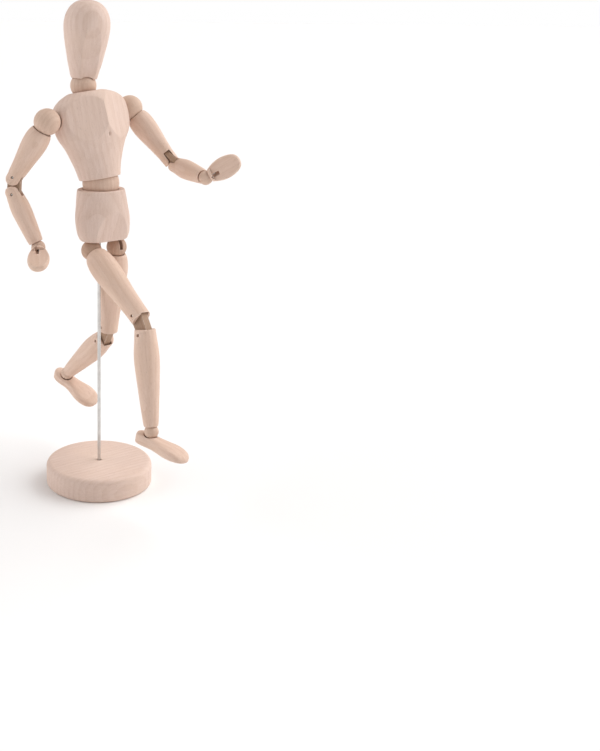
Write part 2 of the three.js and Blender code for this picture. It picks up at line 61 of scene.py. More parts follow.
PELVIS = {"bottom": 74.1, "top": 88.3, "forward": 2.33, "top_forward": 0.9}
WAIST = (0.1, -0.7, 89.9)
HIP = {"spacing": 4.32, "forward": 2.5, "height": 71.4}
CHEST = {"bottom": 1.5, "top": 25.7, "neck_back": 0.8}
SHOULDER = {"spacing": 15.0, "height": 19.2}
NECK = {"height": 27.4, "rim": 1.7}
HEAD_LENGTH = 21.6
HIP_FLAT = {"tilt": 9, "set_back": 4.25, "rise": 2.4}
BREAST_FLAT = {"turn": 21, "tilt": -5, "place": (5.4, -5.35, 18.3)}
FACE_FLAT = {"tilt": 13.5, "set_back": 4.55, "rise": 6.6}

BALL = {"waist": 5.2, "neck": 3.65, "shoulder": 3.65, "hip": 2.9, "wrist": 1.95, "ankle": 1.95}
ARM_END = 2.2  # radius of an arm piece round its elbow pin
LEG_END = 2.65  # radius of a leg piece round its knee pin
LEG_TIP = 1.4  # how far a leg piece reaches past its knee pin
POCKET_LIFT = 1.35  # how far a link's way out reaches past its pin
ELBOW = {"radius": 1.85, "thickness": 1.5, "pin": 0.32}
KNEE = {"radius": 2.05, "thickness": 2.3, "pin": 0.38}
HAND = {"length": 10.8, "width": 6.0, "thickness": 3.8, "palm": 0.8}
FOOT = {"toe": 12.9, "heel": 4.5, "top": -0.9, "sole": -4.1}
BIG_SPRING = {"wire": 0.22, "coil": 0.85, "turns": 2.5, "pitch": 1.1}
SMALL_SPRING = {"wire": 0.18, "coil": 0.62, "turns": 2.5, "pitch": 0.95}

# How far the end pieces are turned in the held pose, in degrees.
HEAD_TILT = 10.9
WRIST_BEND = {"right": 60, "left": 56}
HAND_ROLL = {"right": 20, "left": -149}
ANKLE_BEND = {"right": 16.3, "left": -25.5}

SIDES = 96  # sides of a turned piece before it is remeshed
VOXEL = {"chest": 0.18, "pelvis": 0.15, "head": 0.15, "leg": 0.13, "arm": 0.12, "foot": 0.11, "hand": 0.1}

# Lights, as sideways, away and up from the camera's view, with their strength and spread in degrees.
KEY = {"toward": (0.80, 0.24, 0.86), "power": 2.80, "spread": 75, "colour": (1.0, 0.99, 0.98)}
RIM = {"toward": (-0.98, 0.02, 0.50), "power": 1.45, "spread": 70, "colour": (0.99, 0.99, 1.0)}
ROOM_SEEN = 1.0  # how bright the room looks
ROOM_LIGHT = 0.30  # how much light it gives
ROOM_TINT = (1.0, 0.95, 0.915, 1)  # the colour of that light
FLOOR_REACH = 60.0  # half the floor's side, in metres

# ---------------------------------------------------------------- places from the frame

JOINTS = {joint["name"]: joint for joint in frame["joints"]}
BODY_OF = {
    node: body
    for body, nodes in frame["record"]["behaviour"]["bodies"].items()
    for node in nodes
}


def anchor(joint):
    return Vector(JOINTS[joint]["pos_m"])


def axis(joint, sign=1):
    return Vector(JOINTS[joint]["axis"]).normalized() * sign


def placed(origin, x=None, y=None, z=None):
    """The matrix of a frame from its origin in metres and any two of its axes."""
    if x is None:
        x = y.cross(z).normalized()
    elif y is None:
        y = z.cross(x).normalized()
    if z is None:
        z = x.cross(y).normalized()
        y = z.cross(x).normalized()
    else:
        y = z.cross(x).normalized()
        x = y.cross(z).normalized()
    matrix = Matrix((x, y, z)).transposed().to_4x4()
    matrix.translation = origin
    return matrix


def turn(axis_name, degrees):
    return Matrix.Rotation(math.radians(degrees), 4, axis_name)


def shift(x=0.0, y=0.0, z=0.0):
    return Matrix.Translation((x, y, z))


# ---------------------------------------------------------------- raw meshes


def mesh_of(vertices, faces):
    mesh = bpy.data.meshes.new("shape")
    mesh.from_pydata([tuple(v) for v in vertices], [], faces)
    mesh.update()
    return mesh


def rings_to_mesh(rings, start, end):
    """A closed mesh from rings of points, which run upwards, and the middle points of its two ends."""
    count = len(rings[0])
    vertices = [point for ring in rings for point in ring] + [start, end]
    faces = []
    for level in range(len(rings) - 1):
        for i in range(count):
            j = (i + 1) % count
            low = level * count
            high = low + count
            faces.append((low + i, low + j, high + j, high + i))
    first = len(vertices) - 2
    top = (len(rings) - 1) * count
    for i in range(count):
        j = (i + 1) % count
        faces.append((first, j, i))
        faces.append((first + 1, top + i, top + j))
    return mesh_of(vertices, faces)


def smooth_line(points, per=5):
    """Points of any size along a Catmull-Rom curve through the given ones."""
    given = [np.array(p, dtype=float) for p in points]
    ends = [2 * given[0] - given[1]] + given + [2 * given[-1] - given[-2]]
    line = []
    for i in range(1, len(ends) - 2):
        a, b, c, d = ends[i - 1 : i + 3]
        for k in range(per):
            t = k / per
            square = (2 * a - 5 * b + 4 * c - d) * t**2
            line.append(0.5 * (2 * b + (c - a) * t + square + (3 * b - a - 3 * c + d) * t**3))
    line.append(given[-1])
    return line


def turned(profile, sides=SIDES):
    """A solid of revolution about Z from [radius, height] points that rise and lie off the axis."""
    circle = [(math.cos(a), math.sin(a)) for a in np.linspace(0, 2 * math.pi, sides, endpoint=False)]
    rings = [[(radius * c, radius * s, height) for c, s in circle] for radius, height in profile]
    return rings_to_mesh(rings, (0, 0, profile[0][1]), (0, 0, profile[-1][1]))


def hanging(profile):
    """The same for a limb: the second number of each point is the distance below zero."""
    return turned([(radius, -depth) for radius, depth in reversed(profile)])


def oval(sections, per=6, sides=SIDES):
    """A body with oval sections: each is [height, half width, half depth, centre x, centre y]."""
    circle = [(math.cos(a), math.sin(a)) for a in np.linspace(0, 2 * math.pi, sides, endpoint=False)]
    full = [list(section) + [0.0] * (5 - len(section)) for section in sections]
    line = smooth_line(full, per)
    rings = []
    for height, width, depth, x, y in line:
        rings.append([(x + width * c, y + depth * s, height) for c, s in circle])
    first, last = line[0], line[-1]
    return rings_to_mesh(rings, (first[3], first[4], first[0]), (last[3], last[4], last[0]))


def globe(radius, sides=64):
    steps = sides // 2
    profile = []
    for i in range(1, steps):
        angle = math.pi * i / steps
        profile.append((radius * math.sin(angle), -radius * math.cos(angle)))
    mesh = turned(profile, sides)
    mesh.vertices[-2].co.z = -radius
    mesh.vertices[-1].co.z = radius
    return mesh


def bar(radius, low, high, sides=32):
    return turned([(radius, low), (radius, high)], sides)


def block(width, depth, height):
    w, d, h = width / 2, depth / 2, height / 2
    ring = [(-w, -d), (w, -d), (w, d), (-w, d)]
    rings = [[(x, y, z) for x, y in ring] for z in (-h, h)]
    return rings_to_mesh(rings, (0, 0, -h), (0, 0, h))


def plate(outline, thickness, middle=None):
    """An outline of (y, z) points with its thickness centred on X. Its ends fan out from the middle point."""
    area = sum(a[0] * b[1] - b[0] * a[1] for a, b in zip(outline, outline[1:] + outline[:1]))
    if area < 0:
        outline = outline[::-1]
    rings = [[(x, y, z) for y, z in outline] for x in (-thickness / 2, thickness / 2)]
    if middle is None:
        middle = np.mean(outline, axis=0)
    return rings_to_mesh(rings, (-thickness / 2, *middle), (thickness / 2, *middle))


def moved(mesh, matrix):
    mesh.transform(matrix)
    return mesh


def fan(low, high, reach, wire):
    """The space a wire needs to swing about X between two angles, from +Z towards -Y."""
    half = wire + GAP
    steps = 12
    outline = []

    def add(angle, radius, offset):
        s, c = math.sin(math.radians(angle)), math.cos(math.radians(angle))
        outline.append((-(radius * s - offset * c), radius * c + offset * s))

    add(low, 0, half)
    add(low, reach, half)
    for i in range(1, steps):
        add(low + (high - low) * i / steps, reach + half, 0)
    add(high, reach, -half)
    add(high, 0, -half)
    add((low + high) / 2, -half, 0)
    return plate(outline, 2 * half)


def spring_bore(spring, start):
    end = start + spring["turns"] * spring["pitch"] + spring["wire"] + GAP
    return bar(spring["coil"] + spring["wire"] + GAP + 0.1, 0, end)


# ---------------------------------------------------------------- finished meshes


def mark_wear_and_shade(mesh):
    """Stores how convex each point is, from 1 on an edge to -1 in a groove, for the material's rubbed paler
    edges and its painted shade in grooves.
    """
    count = len(mesh.vertices)
    places = np.empty(count * 3)
    mesh.vertices.foreach_get("co", places)
    places = places.reshape(-1, 3)
    normals = np.empty(count * 3)
    mesh.vertex_normals.foreach_get("vector", normals)
    normals = normals.reshape(-1, 3)
    edges = np.empty(len(mesh.edges) * 2, dtype=np.int64)
    mesh.edges.foreach_get("vertices", edges)
    a, b = edges.reshape(-1, 2).T
    step = places[b] - places[a]
    bend = ((normals[b] - normals[a]) * step).sum(1) / np.maximum((step**2).sum(1), 1e-9)
    shares = np.bincount(a, minlength=count) + np.bincount(b, minlength=count)
    shares = np.maximum(shares, 1)
    for _ in range(3):
        level = (np.bincount(a, bend, count) + np.bincount(b, bend, count)) / shares
        bend = (level[a] + level[b]) / 2
    flat_level, sharp_level = 0.45, 1.5
    amount = np.clip((np.abs(level) - flat_level) / (sharp_level - flat_level), 0, 1) * np.sign(level)
    # Convex points later read as rubbed paler edges; hollow points get painted shade in the colour.
    mesh.attributes.new("wear_and_shade", "FLOAT", "POINT").data.foreach_set("value", amount.astype(np.float32))


def grain(mesh, seed, along="Z"):
    """Stores where each point lies in its own piece of timber, in millimetres, with the grain along Z."""
    rng = random.Random(seed)
    count = len(mesh.vertices)
    places = np.empty(count * 3)
    mesh.vertices.foreach_get("co", places)
    places = places.reshape(-1, 3)
    along_axis = Vector({"X": (1, 0, 0), "Y": (0, 1, 0), "Z": (0, 0, 1)}[along])
    aligned = along_axis.rotation_difference(Vector((0, 0, 1))).to_matrix()
    tilt = Matrix.Rotation(math.radians(rng.uniform(-4, 4)), 3, "X")
    spin = Matrix.Rotation(rng.uniform(0, 2 * math.pi), 3, "Z")
    turned_by = np.array(spin @ tilt @ aligned)
    offset = np.array([rng.uniform(16, 30), rng.uniform(-6, 6), rng.uniform(-400, 400)])
    timber = places @ turned_by.T + offset
    mesh.attributes.new("grain", "FLOAT_VECTOR", "POINT").data.foreach_set(
        "vector", timber.astype(np.float32).ravel()
    )


def modified(mesh, cutters=(), voxel=None, soften=0):
    """A new mesh with the cutters taken away, remeshed at the voxel size and softened."""
    body = bpy.data.objects.new("body", mesh)
    bpy.context.scene.collection.objects.link(body)
    tools = []
    for cutter in cutters:
        tool = bpy.data.objects.new("tool", cutter)
        bpy.context.scene.collection.objects.link(tool)
        cut = body.modifiers.new("cut", "BOOLEAN")
        cut.operation = "DIFFERENCE"
        cut.solver = "MANIFOLD"
        cut.object = tool
        tools.append(tool)
    if voxel:
        remesh = body.modifiers.new("remesh", "REMESH")
        remesh.mode = "VOXEL"
        remesh.voxel_size = voxel
    if soften:
        smooth = body.modifiers.new("soften", "SMOOTH")
        smooth.factor = 0.5
        smooth.iterations = soften
    graph = bpy.context.evaluated_depsgraph_get()
    made = bpy.data.meshes.new_from_object(body.evaluated_get(graph))
    for extra in [body, *tools]:
        data = extra.data
        bpy.data.objects.remove(extra)
        bpy.data.meshes.remove(data)
    return made


def finished(node, mesh, matrix, material, along="Z"):
    """The mesh as a shown piece that replaces the CAD node and rides on its body."""
    mark_wear_and_shade(mesh)
    grain(mesh, node, along)
    mesh.transform(matrix @ Matrix.Scale(MM, 4))
    mesh.polygons.foreach_set("use_smooth", [True] * len(mesh.polygons))
    mesh.materials.clear()
    mesh.materials.append(material)
    mesh.name = f"{node}_surface"
    piece = bpy.data.objects.new(f"{node}_piece", mesh)
    bpy.context.scene.collection.objects.link(piece)
    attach(piece, BODY_OF[node])
    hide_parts(node)
    return piece


# ---------------------------------------------------------------- materials


class Surface:
    """A material with one Principled shader, and short ways to add and join nodes."""

    def __init__(self, name):
        self.material = bpy.data.materials.new(name)
        self.material.use_nodes = True
        self.tree = self.material.node_tree
        self.tree.nodes.clear()
        self.shader = self.add("ShaderNodeBsdfPrincipled")
        output = self.add("ShaderNodeOutputMaterial")
        self.tree.links.new(self.shader.outputs[0], output.inputs[0])

    def add(self, kind, inputs=None, **settings):
        node = self.tree.nodes.new(kind)
        for key, value in settings.items():
            setattr(node, key, value)
        for key, value in (inputs or {}).items():
            self.feed(node.inputs[key], value)
        return node

    def feed(self, socket, value):
        if isinstance(value, bpy.types.NodeSocket):
            self.tree.links.new(value, socket)
        else:
            socket.default_value = value

    def attribute(self, name, output):
        return self.add("ShaderNodeAttribute", attribute_name=name).outputs[output]

    def scaled(self, vector, scale):
        node = self.add("ShaderNodeVectorMath", {0: vector, 1: scale}, operation="MULTIPLY")
        return node.outputs[0]

    def noise(self, vector, scale, detail=3.0, roughness=0.55):
        inputs = {"Vector": vector, "Scale": scale, "Detail": detail, "Roughness": roughness}
        return self.add("ShaderNodeTexNoise", inputs).outputs["Fac"]

    def span(self, value, low, high, to_low=0.0, to_high=1.0):
        """The value's stretch from low to high, spread over another stretch."""
        inputs = {"Value": value, "From Min": low, "From Max": high, "To Min": to_low, "To Max": to_high}
        return self.add("ShaderNodeMapRange", inputs, clamp=True).outputs[0]

    def math(self, operation, *values):
        node = self.add("ShaderNodeMath", dict(enumerate(values)), operation=operation)
        return node.outputs[0]

    def mix(self, amount, first, second, blend="MIX"):
        inputs = {"Fac": amount, "Color1": first, "Color2": second}
        return self.add("ShaderNodeMixRGB", inputs, blend_type=blend).outputs[0]


def wood(name, pale, dark, shade, ring_gap=1.5):
    """Sanded bare wood: growth rings, fibres, pores, warm patches, rubbed paler edges, and painted shade
    darkening the grooves.
    """
    s = Surface(name)
    place = s.attribute("grain", "Vector")
    wear_and_shade = s.attribute("wear_and_shade", "Fac")
    rings = s.add(
        "ShaderNodeTexWave",
        {
            "Vector": place,
            "Scale": 2 * math.pi / (20 * ring_gap),
            "Distortion": 1.6,
            "Detail": 2.0,
            "Detail Scale": 0.9,
            "Detail Roughness": 0.55,
        },
        wave_type="RINGS",
        rings_direction="Z",
        wave_profile="SAW",
    ).outputs["Fac"]
    fibre = s.noise(s.scaled(place, (6.5, 6.5, 0.3)), 1.0, 4.0, 0.6)
    streak = s.noise(s.scaled(place, (1.6, 1.6, 0.07)), 1.0, 3.0)
    patch = s.noise(place, 0.11, 2.0)
    fleck = s.noise(s.scaled(place, (9.0, 9.0, 1.3)), 1.0, 1.0)
    pore = s.span(fleck, 0.66, 0.74)

    late = s.math("MULTIPLY", s.span(rings, 0.35, 1.0), 0.26)
    thread = s.math("MULTIPLY", s.span(fibre, 0.38, 0.66), 0.24)
    band = s.math("MULTIPLY", s.span(streak, 0.35, 0.7), 0.36)
    depth = s.math("ADD", s.math("ADD", late, thread), band)
    colour = s.mix(depth, (*pale, 1), (*dark, 1))
    colour = s.mix(s.span(patch, 0.42, 0.72, 0.0, 0.45), colour, (*shade, 1))
    colour = s.mix(s.math("MULTIPLY", pore, 0.4), colour, (*[c * 0.55 for c in dark], 1))
    edge = s.span(wear_and_shade, 0.15, 1.0)
    uneven = s.span(s.noise(place, 1.2, 3.0), 0.35, 0.6)
    colour = s.mix(s.math("MULTIPLY", s.math("MULTIPLY", edge, uneven), 0.35), colour, (0.87, 0.74, 0.64, 1))
    # Painted shade: the colour darkens in grooves, cups and slots, where shade falls.
    groove = s.span(wear_and_shade, -0.15, -1.0)
    colour = s.mix(s.math("MULTIPLY", groove, 0.4), colour, (*[c * 0.45 for c in dark], 1))
    s.feed(s.shader.inputs["Base Color"], colour)

    rough = s.math("SUBTRACT", s.span(fibre, 0.3, 0.7, 0.56, 0.74), s.math("MULTIPLY", edge, 0.12))
    s.feed(s.shader.inputs["Roughness"], rough)
    s.shader.inputs["Specular IOR Level"].default_value = 0.32
    height = s.math("SUBTRACT", s.math("MULTIPLY", fibre, 0.7), s.math("MULTIPLY", pore, 0.8))
    height = s.math("ADD", height, s.math("MULTIPLY", rings, 0.25))
    bump = s.add("ShaderNodeBump", {"Height": height, "Strength": 0.35, "Distance": 0.05 * MM})
    s.feed(s.shader.inputs["Normal"], bump.outputs[0])
    return s.material


def steel(name):
    """Drawn steel: faint lengthwise scratches, dull patches and darker rubbed spots."""
    s = Surface(name)
    place = s.attribute("grain", "Vector")
    scratch = s.noise(s.scaled(place, (14.0, 14.0, 0.5)), 1.0, 3.0, 0.6)
    patch = s.noise(place, 0.5, 3.0)
    colour = s.mix(s.span(patch, 0.35, 0.7), (0.70, 0.69, 0.67, 1), (0.60, 0.59, 0.575, 1))
    colour = s.mix(s.math("MULTIPLY", s.span(scratch, 0.5, 0.75), 0.3), colour, (0.44, 0.42, 0.41, 1))
    s.feed(s.shader.inputs["Base Color"], colour)
    s.shader.inputs["Metallic"].default_value = 1.0
    s.feed(s.shader.inputs["Roughness"], s.span(scratch, 0.3, 0.7, 0.24, 0.46))
    bump = s.add("ShaderNodeBump", {"Height": scratch, "Strength": 0.25, "Distance": 0.02 * MM})
    s.feed(s.shader.inputs["Normal"], bump.outputs[0])
    return s.material


def plain(name, colour, roughness):
    s = Surface(name)
    s.shader.inputs["Base Color"].default_value = (*colour, 1)
    s.shader.inputs["Roughness"].default_value = roughness
    s.shader.inputs["Specular IOR Level"].default_value = 0.1
    return s.material


BODY_WOOD = wood("body_wood", (0.79, 0.625, 0.55), (0.64, 0.46, 0.37), (0.74, 0.565, 0.465))
LIMB_WOOD = wood("limb_wood", (0.79, 0.60, 0.50), (0.64, 0.435, 0.325), (0.74, 0.54, 0.415))
BALL_WOOD = wood("ball_wood", (0.72, 0.54, 0.44), (0.58, 0.39, 0.29), (0.68, 0.49, 0.37), ring_gap=1.1)
LINK_WOOD = wood("link_wood", (0.46, 0.315, 0.225), (0.34, 0.21, 0.14), (0.41, 0.265, 0.175), ring_gap=0.8)
# Darker wood for the hip balls: partly a darker timber, partly painted shade for where they sit between the
# pelvis and the thighs.
HIP_WOOD_AND_SHADE = wood("hip_wood_and_shade", (0.60, 0.42, 0.32), (0.46, 0.29, 0.21), (0.54, 0.36, 0.26), ring_gap=1.0)
STEEL = steel("drawn_steel")


def wooden(node, mesh, cutters, matrix, voxel, soften=5, material=LIMB_WOOD, along="Z"):
    made = modified(mesh, cutters, voxel, soften)
    return finished(node, made, matrix, material, along)


# ---------------------------------------------------------------- springs and pins


def tube(points, radius, sides=10):
    """A closed round wire along a list of points."""
    line = [Vector(p) for p in points]
    previous = None
    rings = []
    for i, point in enumerate(line):
        ahead = line[min(i + 1, len(line) - 1)] - line[max(i - 1, 0)]
        ahead.normalize()
        side = ahead.orthogonal() if previous is None else previous - ahead * previous.dot(ahead)
        side.normalize()
        previous = side
        other = ahead.cross(side)
        ring = []
        for k in range(sides):
            angle = 2 * math.pi * k / sides
            ring.append(tuple(point + radius * (math.cos(angle) * side + math.sin(angle) * other)))
        rings.append(ring)
    return rings_to_mesh(rings, tuple(line[0]), tuple(line[-1]))


def spring_mesh(spring, start, tail_end, bent_end=()):
    """A coil along +Z with a straight tail below it and an optional bent end."""
    line = [*bent_end, (0, 0, tail_end), (0, 0, start - 0.5)]
    if bent_end:
        line = [tuple(p) for p in smooth_line(line, 6)]
    per_turn = 28
    for i in range(int(per_turn * spring["turns"]) + 1):
        angle = 2 * math.pi * i / per_turn
        grow = min(1.0, (i / per_turn * 6 + 1) / 3)
        radius = spring["coil"] * grow
        height = start + spring["pitch"] * i / per_turn
        line.append((radius * math.cos(angle), radius * math.sin(angle), height))
    return tube(line, spring["wire"])


def add_spring(node, mesh, matrix, turned_by=None):
    if turned_by is not None:
        mesh.transform(turned_by)
    finished(node, mesh, matrix, STEEL)


def add_pin(node, matrix, radius, length):
    """A cross pin along X with domed ends."""
    dome = radius * 0.45
    half = length / 2
    rise = [(radius * math.sin(a), dome * (1 - math.cos(a))) for a in np.linspace(0.2, math.pi / 2, 6)]
    profile = [(r, -half + h) for r, h in rise] + [(r, half - h) for r, h in reversed(rise)]
    mesh = moved(turned(profile, 32), turn("Y", 90))
    finished(node, mesh, matrix, STEEL, along="X")


# ---------------------------------------------------------------- stand


def rounded(corner_radius, corner_height, radius, low, high, steps=10):
    """Points on a round edge about a centre, between two angles in degrees."""
    points = []
    for i in range(steps + 1):
        angle = math.radians(low + (high - low) * i / steps)
        points.append((corner_radius + radius * math.cos(angle), corner_height + radius * math.sin(angle)))
    return points


def add_base():
    radius, thickness, edge, foot = BASE["radius"], BASE["thickness"], BASE["edge"], BASE["foot"]
    hole = ROD["radius"] + GAP
    lip = 0.18
    profile = rounded(radius - foot, foot, foot, -90, 0)
    profile += rounded(radius - edge, thickness - edge, edge, 0, 90)
    profile += rounded(hole + lip, thickness - lip, lip, 90, 180)
    profile.append((hole, thickness - BASE["hole_depth"]))
    mesh = turned(profile, 192)
    made = modified(mesh)
    finished("base", made, Matrix.Identity(4), BODY_WOOD, along="X")


def add_rod():
    radius, point = ROD["radius"], ROD["point"]
    low = BASE["thickness"] - BASE["hole_depth"] + GAP
    profile = [(radius - point, low), (radius, low + point)]
    profile += [(radius, low + (ROD["top"] - low) * i / 24) for i in range(1, 24)]
    profile += [(radius, ROD["top"] - point), (radius - point, ROD["top"])]
    finished("support_rod", turned(profile, 32), Matrix.Identity(4), STEEL)


# ---------------------------------------------------------------- trunk


def add_pelvis():
    bottom, top = PELVIS["bottom"], PELVIS["top"]
    forward, top_forward = PELVIS["forward"], PELVIS["top_forward"]

    def lean(height):
        return -forward + (forward - top_forward) * (height - bottom) / (top - bottom)

    sections = [
        [bottom, 7.0, 4.9],
        [bottom + 0.6, 7.5, 5.4],
        [bottom + 2.5, 8.1, 5.8],
        [bottom + 6, 8.35, 6.1],
        [bottom + 10, 7.75, 6.1],
        [top - 0.5, 7.1, 6.0],
        [top, 6.7, 5.7],
    ]
    sections = [[height, width, depth, 0, lean(height)] for height, width, depth in sections]
    waist = shift(*WAIST)
    cutters = [moved(globe(BALL["waist"] + GAP), waist)]
    cutters.append(moved(spring_bore(BIG_SPRING, BALL["waist"] + 0.7), waist @ turn("X", 180)))
    for side in (-1, 1):
        hip = shift(side * HIP["spacing"], -HIP["forward"], HIP["height"])
        cutters.append(moved(globe(BALL["hip"] + GAP), hip))
        cutters.append(moved(spring_bore(SMALL_SPRING, BALL["hip"] + 0.6), hip))
    cutters.append(bar(ROD["radius"] + PIN_GAP, bottom - 1, ROD["top"] + GAP))
    front = shift(0, -forward - HIP_FLAT["set_back"], bottom + HIP_FLAT["rise"])
    front = front @ turn("X", HIP_FLAT["tilt"]) @ shift(0, -5, 0)
    cutters.append(moved(block(30, 10, 30), front))
    wooden("pelvis", oval(sections), cutters, Matrix.Identity(4), VOXEL["pelvis"], 2, BODY_WOOD)


def add_trunk_ball(node, matrix, radius, wire, swing, lean):
    below = moved(fan(-swing, swing, radius + 1, wire), shift(0, 0, -0.2) @ turn("X", 180))
    above = moved(fan(-lean, lean, radius + 1, wire), shift(0, 0, 0.2) @ turn("Z", 90))
    wooden(node, globe(radius), [below, above], matrix, 0.12, 4, BALL_WOOD)


def add_chest(chest):
    sections = [
        [CHEST["bottom"], 5.95, 5.75],
        [4.5, 6.8, 5.9],
        [8, 8.3, 6.2, 0.1, 0],
        [11, 9.75, 6.7, 0.25, 0],
        [13.5, 11.45, 7.2, 0.35, 0],
        [16.5, 12.3, 7.6, 0.3, 0],
        [20, 12.2, 7.5, 0.3, 0],
        [22.4, 11.35, 7.0, 0.3, 0],
        [24.2, 9.1, 6.2, 0.3, 0],
        [25.3, 6.2, 5.3],
        [CHEST["top"], 4.6, 4.5, 0, 0.4],
    ]
    neck = shift(0, CHEST["neck_back"], NECK["height"])
    cutters = [globe(BALL["waist"] + GAP), spring_bore(BIG_SPRING, BALL["waist"] + 0.7)]
    cutters.append(moved(globe(BALL["neck"] + GAP), neck))
    cutters.append(moved(spring_bore(SMALL_SPRING, BALL["neck"] + 0.6), neck @ turn("X", 180)))
    for side in (-1, 1):
        shoulder = shift(side * SHOULDER["spacing"], 0, SHOULDER["height"])
        cutters.append(moved(globe(BALL["shoulder"] + GAP), shoulder))
        bore = spring_bore(BIG_SPRING, BALL["shoulder"] + 0.7)
        cutters.append(moved(bore, shoulder @ turn("Y", -90 * side)))
        across, forward, height = BREAST_FLAT["place"]
        breast = shift(side * across, forward, height) @ turn("Z", side * BREAST_FLAT["turn"])
        breast = breast @ turn("X", BREAST_FLAT["tilt"]) @ shift(0, -3, 0)
        cutters.append(moved(block(16, 6, 13.4), breast))
    # A small nick is left where the two breast flats meet.
    nick = shift(0.1, -7.25, 13.3) @ Matrix.Diagonal((0.4, 0.5, 0.85, 1))
    cutters.append(moved(globe(1, 24), nick))
    wooden("chest", oval(sections), cutters, chest, VOXEL["chest"], 3, BODY_WOOD)


def add_head(head):
    rise = [
        (3.4, 0),
        (3.8, 0.9),
        (4.2, 2.5),
        (4.75, 4.5),
        (5.2, 6.6),
        (5.75, 9.2),
        (6.2, 11.8),
        (6.45, 14.5),
        (6.15, 17),
        (5.15, 19.2),
        (3.6, 20.7),
        (1.8, 21.4),
        (0.05, HEAD_LENGTH),
    ]
    profile = [(radius, height + NECK["rim"]) for radius, height in smooth_line(rise)]
    face = shift(0, -FACE_FLAT["set_back"], NECK["rim"] + FACE_FLAT["rise"])
    face = face @ turn("X", FACE_FLAT["tilt"]) @ shift(0, -4, 0)
    cutters = [
        globe(BALL["neck"] + GAP),
        spring_bore(SMALL_SPRING, BALL["neck"] + 0.6),
        moved(block(20, 8, 30), face),
    ]
    wooden("head", turned(profile), cutters, head, VOXEL["head"], 4, BODY_WOOD)


def add_trunk():
    waist = anchor("waist_turn")
    below = placed(waist, x=axis("waist_bend"), z=axis("waist_turn"))
    add_spring("waist_spring", spring_mesh(BIG_SPRING, BALL["waist"] + 0.9, 0.5), below, turn("X", 180))
    middle = placed(waist, x=axis("waist_bend"), y=axis("waist_lean"))
    add_trunk_ball("waist_ball", middle, BALL["waist"], BIG_SPRING["wire"], 32, 24)
    chest = placed(waist, y=axis("waist_lean"), z=axis("neck_turn"))
    add_spring("chest_spring", spring_mesh(BIG_SPRING, BALL["waist"] + 0.9, 0.5), chest)
    add_chest(chest)

    neck = anchor("neck_turn")
    below = placed(neck, x=axis("neck_nod"), z=axis("neck_turn"))
    add_spring("neck_spring", spring_mesh(SMALL_SPRING, BALL["neck"] + 0.8, 0.5), below, turn("X", 180))
    middle = placed(neck, x=axis("neck_nod"), y=axis("neck_tilt"))
    add_trunk_ball("neck_ball", middle, BALL["neck"], SMALL_SPRING["wire"], 36, 30)
    head = middle @ turn("Y", HEAD_TILT)
    add_spring("head_spring", spring_mesh(SMALL_SPRING, BALL["neck"] + 0.8, 0.5), head)
    add_head(head)


# ---------------------------------------------------------------- arms and legs


def fork_cuts(link, radius, pin_at, direction, inner, corners):
    """The link's pocket with its way out on the inner side, the pin's hole, and the corners round the pin."""
    slot = link["thickness"] + 2 * GAP
    reach = link["radius"] + GAP + 0.05
    length = 8
    at_pin = shift(0, 0, pin_at) @ turn("Y", 90)
    cutters = [moved(bar(reach, -slot / 2, slot / 2, 64), at_pin)]
    cutters.append(moved(block(slot, 2 * reach, length), shift(0, 0, pin_at + direction * length / 2)))
    way_out = shift(0, inner * length / 2, pin_at + direction * (length / 2 - POCKET_LIFT))
    cutters.append(moved(block(slot, length, length), way_out))
    cutters.append(moved(bar(link["pin"] + PIN_GAP, -6, 6), at_pin))
    far = radius + 1
    for side in corners:
        arc = [math.pi / 2 * i / 16 for i in range(17)]
        outline = [(side * radius * math.sin(a), pin_at + direction * radius * math.cos(a)) for a in arc]
        outline.append((side * far, pin_at))
        outline.append((side * far, pin_at + direction * far))
        outline.append((0, pin_at + direction * far))
        cutters.append(plate(outline, 16, (side * far, pin_at + direction * far)))
    return cutters


def upper_arm_mesh(pin_at):
    side = smooth_line(
        [(2.7, 2.7), (3.25, 4.2), (3.45, 6.2), (3.3, 8.8), (2.75, 12.8), (ARM_END + 0.1, pin_at - 1)]
    )
    return hanging(side + [(ARM_END, pin_at + ARM_END)])


def forearm_mesh(wrist_at):
    side = smooth_line(
        [
            (ARM_END + 0.1, 0),
            (2.5, 1.6),
            (2.75, 4.2),
            (2.65, 7),
            (2.35, wrist_at - 5),
            (2.05, wrist_at - 2),
            (1.85, wrist_at - 1.45),
        ]
    )
    return hanging([(ARM_END, -ARM_END)] + side)


def thigh_mesh(pin_at):
    side = smooth_line(
        [(2.6, 1.7), (3.3, 3.0), (3.8, 5.4), (3.9, 8), (3.75, 11.5), (3.2, 17), (2.85, pin_at - 2)]
    )
    return hanging(side + [(2.8, pin_at + LEG_TIP)])


def calf_mesh(ankle_at):
    side = smooth_line(
        [
            (2.85, -LEG_TIP),
            (3.1, 1.5),
            (3.4, 4.5),
            (3.45, 7.5),
            (3.15, 12),
            (2.45, ankle_at - 6),
            (2.1, ankle_at - 2.4),
            (1.85, ankle_at - 1.3),
        ]
    )
    return hanging(side)


def add_link(node, matrix, link, spacing):
    """A flat link with round ends and a hole at each end, hanging from its upper pin."""
    outline = []
    for middle, first in ((0.0, 0), (-spacing, 180)):
        for i in range(25):
            angle = math.radians(first + 180 * i / 24)
            outline.append((link["radius"] * math.cos(angle), middle + link["radius"] * math.sin(angle)))
    holes = [
        moved(bar(link["pin"] + 0.16, -3, 3), shift(0, 0, height) @ turn("Y", 90)) for height in (0, -spacing)
    ]
    mesh = plate(outline, link["thickness"])
    wooden(node, mesh, holes, matrix, 0.08, 4, LINK_WOOD)


